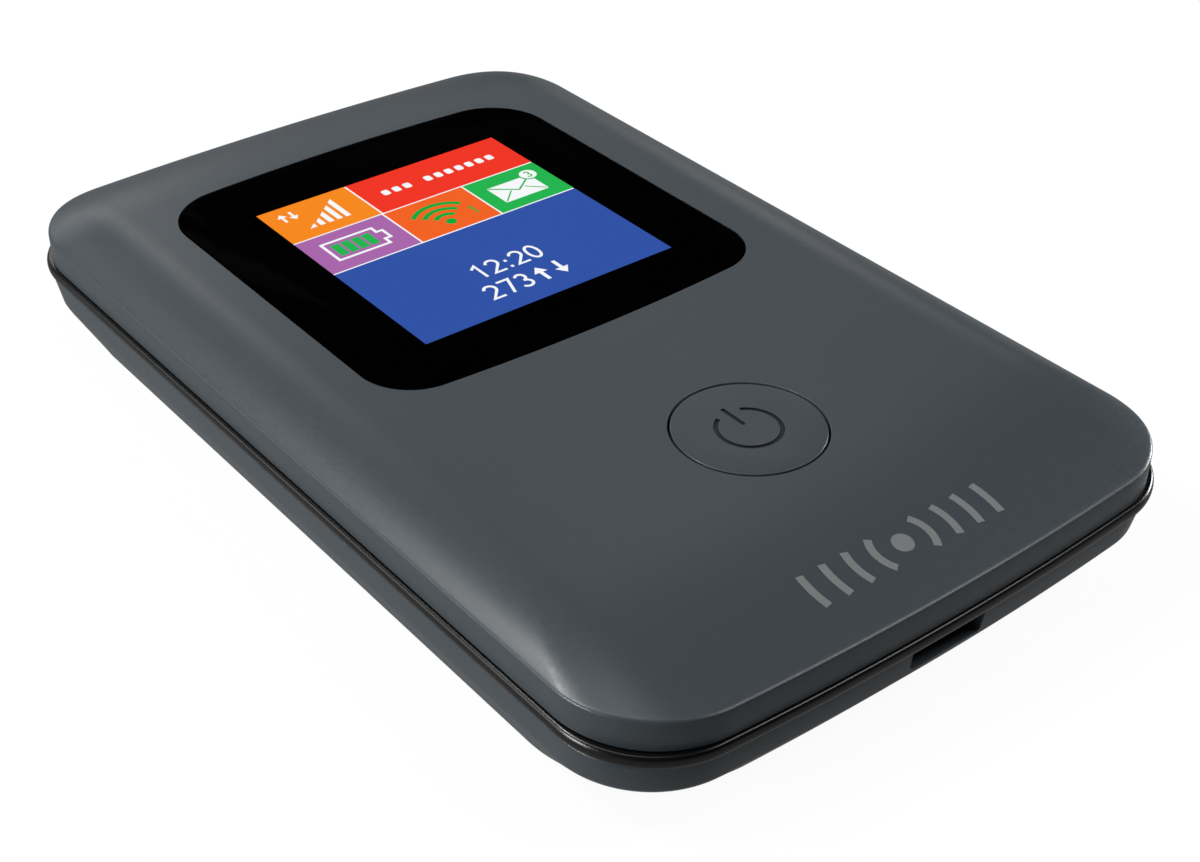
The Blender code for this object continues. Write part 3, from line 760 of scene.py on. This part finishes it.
def draw_headline(picture):
    """Short dashes in two groups, where a line of text would be."""
    left, width, pitch = -1.6, 0.72, 1.14
    for i in (0, 1, 2, 4, 5, 6, 7, 8, 9, 10):
        x = left + pitch * i
        picture.rect(x, 9.55, x + width, 10.45, "white", corner=0.2)


def draw_battery(picture):
    """The outline of a battery with a stepped tip, and four charge bars."""
    x0, y0, x1, y1, tip, step = -11.0, 2.2, -5.9, 5.3, 0.6, 0.85
    middle = (x0 + x1) / 2
    outline = [(middle, y0), (x1, y0), (x1, y0 + step), (x1 + tip, y0 + step), (x1 + tip, y1 - step),
               (x1, y1 - step), (x1, y1), (x0, y1), (x0, y0), (middle - 0.01, y0)]
    picture.stroke(outline, 0.26, "white")
    margin, width, pitch = 0.55, 0.8, 1.03
    for i in range(4):
        x = x0 + margin + pitch * i
        picture.rect(x, y0 + margin, x + width, y1 - margin, "green")


def draw_wireless(picture):
    """A dot under three arcs, with a small figure beside them."""
    centre = (0.4, 2.1)
    picture.patch(circle(centre, 0.5, 24), "leaf")
    half = 0.24
    start, end = math.radians(42), math.radians(138)
    for radius in (1.35, 2.35, 3.35):
        outline = arc(centre, radius + half, start, end, 24) + arc(centre, radius - half, end, start, 24)
        picture.patch(outline, "leaf")
    picture.digits("1", 2.8, 2.0, 1.35, 0.2, "leaf")


def draw_envelope(picture):
    """An envelope with its flap and folds, and a round badge with a figure on its corner."""
    x0, y0, x1, y1 = 6.3, 1.9, 11.0, 5.0
    middle = (x0 + x1) / 2
    picture.rect(x0, y0, x1, y1, "white", corner=0.15)
    raise_by = 0.006
    picture.stroke([(x0 + 0.1, y1 - 0.1), (middle, 3.2), (x1 - 0.1, y1 - 0.1)], 0.18, "green", raise_by)
    for x, way in ((x0, 1), (x1, -1)):
        fold = [(x + way * 0.15, y0 + 0.15), (middle - way * 0.75, 3.45)]
        picture.stroke(fold, 0.14, "green", raise_by)
    badge = (11.0, 5.1)
    picture.patch(circle(badge, 1.0, 32), "green", 0.008)
    picture.patch(circle(badge, 0.82, 32), "white", 0.012)
    picture.digits("3", badge[0] - 0.3, badge[1] - 0.5, 1.0, 0.16, "green", 0.018)


# --- waist band and middle frame ---
def usb_gap():
    """The space round the USB socket in the pieces that it reaches through."""
    half = 4.4
    return block("usb_gap", (USB_X - half, USB_LOW[1] - 0.3, 1.0), (USB_X + half, USB_HIGH[1] + 0.8, 6.6))


def make_waist_band(materials):
    """A ring with a lip up into the cover, a rounded outside and a step over the rear shell's lip."""
    lip_in, lip_out, lip_z = 2.35, 1.55, BAND_HIGH[2]
    upper, lower = BAND_HIGH_Z - BAND_CREST_Z, BAND_CREST_Z - BAND_EDGE_Z
    turns = quarter(14)
    profile = [(lip_in, BAND_LOW_Z), (lip_in, lip_z), (lip_out, lip_z), (lip_out, BAND_HIGH_Z)]
    profile += [(-BAND_BULGE * math.sin(t), BAND_CREST_Z + upper * math.cos(t)) for t in turns]
    profile += [(-BAND_BULGE * math.cos(t), BAND_CREST_Z - lower * math.sin(t)) for t in turns[1:]]
    profile += [(BAND_STEP, BAND_EDGE_Z), (BAND_STEP, BAND_LOW_Z)]
    rings = [at(case_outline(inset, corner=BAND_CORNER - inset), z) for inset, z in profile]
    band = loft("waist_ring", rings, materials["band"], looped=True)
    cut(band, usb_gap(), block("usb_relief", (USB_X - 3.0, -46.0, BAND_LOW_Z - 1),
                               (USB_X + 3.2, -42.5, BAND_LOW_Z + 0.15), corner=0.05))
    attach(band, "housing")
    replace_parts(band, "waist_band")


def make_mid_frame(materials):
    """The deck with its skirt, which gets a rounded foot and slots for the rear cover's hooks."""
    rim, skirt_out, skirt_in, soft = 1.8, SKIRT_INSET, SKIRT_INSET + 0.8, 0.25
    profile = [(rim, DECK_HIGH_Z), (rim, DECK_LOW_Z), (skirt_out, DECK_LOW_Z), (skirt_out, SKIRT_Z + soft),
               (skirt_out + 0.3 * soft, SKIRT_Z + 0.3 * soft), (skirt_out + soft, SKIRT_Z),
               (skirt_in - soft, SKIRT_Z), (skirt_in - 0.3 * soft, SKIRT_Z + 0.3 * soft),
               (skirt_in, SKIRT_Z + soft), (skirt_in, DECK_LOW_Z)]
    rings = [at(case_outline(inset, corner=DECK_CORNER), z) for inset, z in profile]
    made = loft("deck_frame", rings, materials["dark"])

    low, high = DECK_LOW_Z - 1, DECK_HIGH_Z + 1
    reset_low, reset_high = box("reset_switch")
    room = 0.4
    tools = [
        block("sim_window", (-22.2, -36.8, low), (9.6, -22.2, high), corner=0.5),
        block("contact_window", (-7.4, -21.2, low), (7.4, -15.9, high), corner=0.3),
        block("reset_window", (reset_low[0] - room, reset_low[1] - room, low),
              (reset_high[0] + room, reset_high[1] + room, high), corner=0.3),
        usb_gap(),
    ]
    tools += [rod("hole_" + name, spot, 1.15, low, high, 32) for name, spot in SCREW_SPOTS.items()]
    for side in (-1, 1):
        for y in HOOKS_Y:
            x = side * (HALF_WIDTH - SKIRT_INSET)
            tools.append(block("hook_slot", (x - room, y - HOOK_REACH - room, HOOK_LOW_Z - 0.2),
                               (x + room, y + HOOK_REACH + room, HOOK_HIGH_Z + 0.3)))
    cut(made, *tools)
    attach(made, "housing")
    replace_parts(made, "mid_frame")


# --- rear cover ---
def rear_hooks():
    """Snap hooks on the side walls, with a slanted lead-in on top, which click into the skirt's slots."""
    wall, root, tip = 26.35, 26.6, 25.3
    section = [(root, HOOK_LOW_Z - 0.5), (wall, HOOK_LOW_Z - 0.4), (tip, HOOK_LOW_Z),
               (tip, HOOK_LOW_Z + 0.25), (wall, HOOK_HIGH_Z), (root, HOOK_HIGH_Z)]
    made = []
    for side in (-1, 1):
        for y in HOOKS_Y:
            rings = [[(side * x, y + reach, z) for x, z in section] for reach in (-HOOK_REACH, HOOK_REACH)]
            made.append(loft("hook", rings))
    return made


def rear_ribs():
    """Ribs across the floor of the tray, in front of the battery."""
    floor_z, top_z, thick = 0.9, 2.0, 0.7
    spans = [((-22.0, y), (22.0, y + thick)) for y in (-35.0, -28.0, -21.0)]
    spans += [((x, -38.5), (x + thick, -18.6)) for x in (-15.0, -0.35, 14.3)]
    return [block("rib", (*low, floor_z), (*high, top_z), corner=0.3) for low, high in spans]


def make_rear_cover(materials):
    """A tray with a rounded foot, sloping walls that turn upright and a thin lip under the band.
    Each place in its lists is half the width, half the length and the height."""
    def ring(width, length, z, corner):
        return at(bowed_rect(width, -length, length, corner, END_BOW), z)

    heel = [(24.92, 40.22, 0.0), (25.27, 40.76, 0.06), (25.6, 41.26, 0.22), (25.84, 41.62, 0.44),
            (26.02, 41.9, 0.72), (26.17, 42.14, 1.1)]
    turn = [(27.16, 43.75, 3.28), (27.28, 43.95, 3.56), (27.345, 44.06, 3.74), (27.37, 44.1, 3.95)]
    lip_z = BAND_EDGE_Z - 0.06
    lip = [(27.66, 44.36, lip_z - 0.24), (27.64, 44.34, lip_z - 0.14), (27.58, 44.28, lip_z - 0.05),
           (27.48, 44.18, lip_z), (27.05, 43.75, lip_z), (27.0, 43.7, REAR_HIGH_Z)]
    inside = [(26.4, 43.1, REAR_HIGH_Z), (26.3, 42.95, 3.7), (25.4, 41.7, 1.6), (24.7, 40.8, 1.0)]
    rings = [ring(*place, 11.5 - 0.95 * place[2]) for place in [(24.2, 39.5, 0.0)] + heel]
    rings += [ring(*place, 8.0) for place in turn]
    rings += [ring(*place, 7.6) for place in lip]
    rings += [ring(*place, corner) for place, corner in zip(inside, (6.4, 6.6, 8.4, 9.4))]
    cover = loft("rear_shell", rings, materials["slate"])

    def notch(grow, y):
        half = 3.55 + grow
        outline = round_rect((USB_X - half, 4.05 - grow), (USB_X + half, 8.0), 0.4 + grow)
        return [(x, y, z) for x, z in outline]

    notches = [notch(0.5, -46.0), notch(0.06, -44.12), notch(0.0, -43.98), notch(0.0, -42.0)]
    cut(cover, loft("notch", notches))
    pry = block("pry", (-2.4, -2.6, REAR_HIGH_Z - 0.4), (2.4, 0.5, REAR_HIGH_Z + 1))
    pry_place = Matrix.Translation(Vector((23.6, -42.4, 0)) * MM)
    pry.matrix_world = pry_place @ Matrix.Rotation(math.radians(32), 4, "Z")
    cut(cover, pry)
    join(cover, *rear_hooks(), *rear_ribs())
    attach(cover, "back_shell")
    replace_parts(cover, "rear_cover")


# --- small pieces inside ---
def gather(name, body, material, boxes, corner=0.05):
    """One piece made of many small boxes, each given by its low and high corner."""
    shape = bmesh.new()
    for low, high in boxes:
        add_loft(shape, slab_rings(round_rect(low[:2], high[:2], corner, 2), low[2], high[2]))
    made = finish_mesh(name, shape, material)
    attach(made, body)
    return made


def make_battery_trim(materials):
    """Gold pads in the cap's recesses, and a plain label with bars round the pack."""
    pad_y = CAP_LOW[1] + 0.4
    pads = [((x - 0.95, pad_y - 0.1, 2.9), (x + 0.95, pad_y + 0.1, CAP_HIGH[2] - 0.3)) for x in CONTACTS_X]
    gather("battery_pads", "battery_pack", materials["gold"], pads)

    low_z = CELL_LOW[2]
    x0, x1 = CELL_LOW[0] + 2.0, CELL_HIGH[0] - 2.0
    y0, y1 = CELL_LOW[1] + 2.5, CELL_HIGH[1] - 2.0
    plate = [((x0, y0, low_z - 0.03), (x1, y1, low_z + 0.1))]
    gather("battery_label", "battery_pack", materials["label"], plate, corner=1.0)
    left, right, print_z = x0 + 1.5, x1 - 1.5, low_z - 0.045
    bar = [((left, y1 - 7.0, print_z), (right, y1 - 2.0, low_z + 0.05))]
    gather("label_bar", "battery_pack", materials["label_bar"], bar, corner=0.6)
    pitch, shorter = 3.2, 6.0
    rows = [((left, y1 - 13.0 - pitch * i, print_z),
             (right - shorter * (i % 3), y1 - 11.6 - pitch * i, low_z)) for i in range(9)]
    gather("label_rows", "battery_pack", materials["label_ink"], rows, corner=0.3)


def make_cover_pad(materials):
    """A thin foam pad that keeps the battery from rattling."""
    pad = [((-17.0, -10.0, 0.95), (17.0, 32.0, 1.18))]
    gather("cover_pad", "back_shell", materials["foam"], pad, corner=1.5)


def make_small_parts(materials):
    """Rows of tiny capacitors with tinned ends, on the underside of the board where it shows."""
    under_z = box("main_board")[0][2]
    bodies, ends = [], []
    for row, y in enumerate((-35.2, -33.4, -31.6, -28.6, -26.6, -24.6)):
        for column in range(6):
            x = -5.4 + 2.3 * column + 0.5 * (row % 2)
            if abs(x - USB_X) < 5.0 and y < -34:
                continue
            wide, deep, tall = (0.5, 0.26, 0.35) if (row + column) % 3 else (0.62, 0.4, 0.5)
            bodies.append(((x - wide, y - deep, under_z - tall), (x + wide, y + deep, under_z + 0.02)))
            for side in (-1, 1):
                at_x = x + side * wide
                ends.append(((at_x - 0.16, y - deep - 0.02, under_z - tall - 0.02),
                             (at_x + 0.16, y + deep + 0.02, under_z + 0.02)))
    gather("board_capacitors", "housing", materials["ceramic"], bodies)
    gather("capacitor_ends", "housing", materials["solder"], ends)


def make_usb_contacts(materials):
    """Five gold strips under the tongue of the USB socket."""
    low, high = box("usb_tongue")
    pitch, half, proud = 0.65, 0.14, 0.05
    places = [USB_X + pitch * i for i in range(-2, 3)]
    strips = [((x - half, low[1] + 0.25, low[2] - proud), (x + half, high[1], low[2] + proud))
              for x in places]
    gather("usb_contacts", "housing", materials["gold"], strips)


# --- carried-over solids ---
def dress(materials):
    """Gives each solid that stays its finish."""
    finishes = {
        "foam": ("window_adhesive",),
        "white": ("lcd_backlight",),
        "flex": ("lcd_flex",),
        "board": ("main_board",),
        "steel": ("modem_shield", "wifi_shield", "power_shield", "power_switch", "reset_switch",
                  "usb_shell", "sim_socket"),
        "chip": ("modem_chip", "wifi_chip", "memory_chip"),
        "dark": ("lcd_connector", "power_switch_plunger", "reset_plunger", "usb_tongue",
                 "battery_contact_block", "battery_cap", "main_antenna", "diversity_antenna"),
        "card": ("sim_card",),
        "gold": ("contact_blade_1", "contact_blade_2", "contact_blade_3", "wifi_antenna"),
        "wrap": ("battery_cell",),
        "screw": tuple("screw_" + name for name in SCREWS),
    }
    for finish, names in finishes.items():
        for name in names:
            mesh = nodes[name].data
            mesh.materials.clear()
            mesh.materials.append(materials[finish])


# --- studio ---
CAMERA_ANGLES = (-39.021, 35.003, 0.821)  # azimuth, elevation and roll, in degrees
CAMERA_PLACE = (-83.58, -108.98, 94.85)  # in millimetres
CAMERA_LENS = 58.327
FLOOR_GLOW = (0.265, 0.13)  # what the floor sends up onto the object, from close by and from far off
GLOW_REACH = (0.05, 0.3)  # where close by ends and where far off begins
FLOOR_WHITE = 0.95  # the floor's own glow to the camera
ROOM_LIGHT = 0.004


def make_camera():
    azimuth, elevation, roll = (math.radians(angle) for angle in CAMERA_ANGLES)
    back = Vector((math.sin(azimuth) * math.cos(elevation), -math.cos(azimuth) * math.cos(elevation),
                   math.sin(elevation)))
    level = Vector((math.cos(azimuth), math.sin(azimuth), 0))
    up = back.cross(level)
    right = level * math.cos(roll) + up * math.sin(roll)
    up = up * math.cos(roll) - level * math.sin(roll)
    lens = bpy.data.cameras.new("camera")
    lens.lens = CAMERA_LENS
    lens.sensor_width = 36.0
    lens.clip_start = 0.005
    camera = link("camera", lens)
    place = Matrix((right, up, back)).transposed().to_4x4()
    place.translation = Vector(CAMERA_PLACE) * MM
    camera.matrix_world = place
    bpy.context.scene.camera = camera


# Softboxes round the object: (place, the way it faces, (width, height), watts).
SOFTBOXES = {
    "right_low": ((0.8, -0.1, 0.12), (-1, 0, 0), (0.26, 0.26), 4.6),
    "left_low": ((-0.7, 0.15, 0.12), (1, 0, 0), (0.26, 0.26), 3.4),
    "left_back_low": ((-0.7, 0.6, 0.12), (1, 0, 0), (0.56, 0.26), 0.95),
    "left_middle": ((-0.75, 0.5, 0.3), (0.75, -0.5, -0.3), (0.12, 0.12), 0.12),
    "left_high": ((-0.4, 0.35, 0.6), (0, 0, -1), (0.2, 0.1), 2.9),
    "left_front_high": ((-0.36, 0.2, 0.6), (0, 0, -1), (0.1, 0.1), 0.7),
    "middle_high": ((-0.06, 0.05, 0.6), (0, 0, -1), (0.3, 0.24), 0.52),
    "front_high": ((0.44, -0.3, 0.6), (0, 0, -1), (0.4, 0.2), 1.8),
    "right_high": ((0.5, 0.5, 0.6), (0, 0, -1), (0.2, 0.2), 0.14),
    "back_high": ((0.28, 0.9, 0.6), (0, 0, -1), (0.2, 0.2), 0.57),
    "back_wall": ((0.06, 1.0, 0.36), (0, -1, 0), (0.6, 0.26), 0.8),
    "back_low": ((0.4, 0.9, 0.22), (-0.4, -0.9, -0.22), (0.26, 0.26), 0.06),
    "right_back": ((0.8, 0.6, 0.3), (-1, 0, 0), (0.26, 0.3), 0.15),
    "right_back_low": ((0.75, 0.7, 0.16), (-0.75, -0.7, -0.16), (0.26, 0.26), 0.08),
    "right_back_high": ((0.55, 0.8, 0.42), (-0.55, -0.8, -0.42), (0.26, 0.26), 0.1),
}


def make_softbox(name, place, facing, size, power):
    data = bpy.data.lights.new(name, "AREA")
    data.shape = "RECTANGLE"
    data.size, data.size_y = size
    data.energy = power
    panel = link(name, data)
    panel.location = place
    panel.rotation_mode = "QUATERNION"
    panel.rotation_quaternion = Vector(facing).to_track_quat("-Z", "Y")


def make_floor():
    """A pale floor that glows almost white to the camera, with a trace of the object's shadow. All
    else meets it as a pale glow that fades outwards. From below it is clear, so that the underside
    shows."""
    half = 6.0
    shape = bmesh.new()
    corners = ((-half, -half), (half, -half), (half, half), (-half, half))
    shape.faces.new([shape.verts.new((x, y, 0)) for x, y in corners])
    mesh = bpy.data.meshes.new("floor")
    shape.to_mesh(mesh)
    shape.free()
    made, tree, shader = shader_of("floor", (0.07, 0.07, 0.07), 0.9)
    shader.inputs["Specular IOR Level"].default_value = 0.0
    shader.inputs["Emission Color"].default_value = (1, 1, 1, 1)
    shader.inputs["Emission Strength"].default_value = FLOOR_WHITE
    floor = link("floor", mesh, made)
    floor.location.z = -0.00002

    out = tree.nodes["Material Output"]
    path = tree.nodes.new("ShaderNodeLightPath")
    glow = tree.nodes.new("ShaderNodeEmission")
    where = tree.nodes.new("ShaderNodeTexCoord")
    away = tree.nodes.new("ShaderNodeVectorMath")
    away.operation = "LENGTH"
    tree.links.new(where.outputs["Object"], away.inputs[0])
    fade = remapped(tree, away.outputs["Value"], *GLOW_REACH, *FLOOR_GLOW)
    tree.links.new(fade, glow.inputs["Strength"])
    clear = tree.nodes.new("ShaderNodeBsdfTransparent")
    side = tree.nodes.new("ShaderNodeNewGeometry")
    seen = tree.nodes.new("ShaderNodeMixShader")
    faced = tree.nodes.new("ShaderNodeMixShader")
    tree.links.new(path.outputs["Is Camera Ray"], seen.inputs["Fac"])
    tree.links.new(glow.outputs["Emission"], seen.inputs[1])
    tree.links.new(shader.outputs["BSDF"], seen.inputs[2])
    tree.links.new(side.outputs["Backfacing"], faced.inputs["Fac"])
    tree.links.new(seen.outputs["Shader"], faced.inputs[1])
    tree.links.new(clear.outputs["BSDF"], faced.inputs[2])
    tree.links.new(faced.outputs["Shader"], out.inputs["Surface"])


def make_world():
    """White where the camera looks past the floor, and a dim room for everything else."""
    world = bpy.data.worlds.new("studio")
    bpy.context.scene.world = world
    world.use_nodes = True
    tree = world.node_tree
    tree.nodes.clear()
    out = tree.nodes.new("ShaderNodeOutputWorld")
    path = tree.nodes.new("ShaderNodeLightPath")
    mix = tree.nodes.new("ShaderNodeMixShader")
    for slot, level in ((1, ROOM_LIGHT), (2, 1.0)):
        part = tree.nodes.new("ShaderNodeBackground")
        part.inputs["Color"].default_value = (level, level, level, 1)
        tree.links.new(part.outputs["Background"], mix.inputs[slot])
    tree.links.new(path.outputs["Is Camera Ray"], mix.inputs["Fac"])
    tree.links.new(mix.outputs["Shader"], out.inputs["Surface"])


def make_studio():
    make_camera()
    make_floor()
    make_world()
    for name, softbox in SOFTBOXES.items():
        make_softbox(name, *softbox)
    settings = bpy.context.scene.view_settings
    settings.view_transform = "Standard"
    settings.look = "None"


def main():
    materials = make_materials()
    make_front_cover(materials)
    make_face_mark(materials)
    make_power_key(materials)
    make_window(materials)
    make_screen(make_palette())
    make_waist_band(materials)
    make_mid_frame(materials)
    make_rear_cover(materials)
    make_battery_trim(materials)
    make_cover_pad(materials)
    make_small_parts(materials)
    make_usb_contacts(materials)
    dress(materials)
    make_studio()


main()
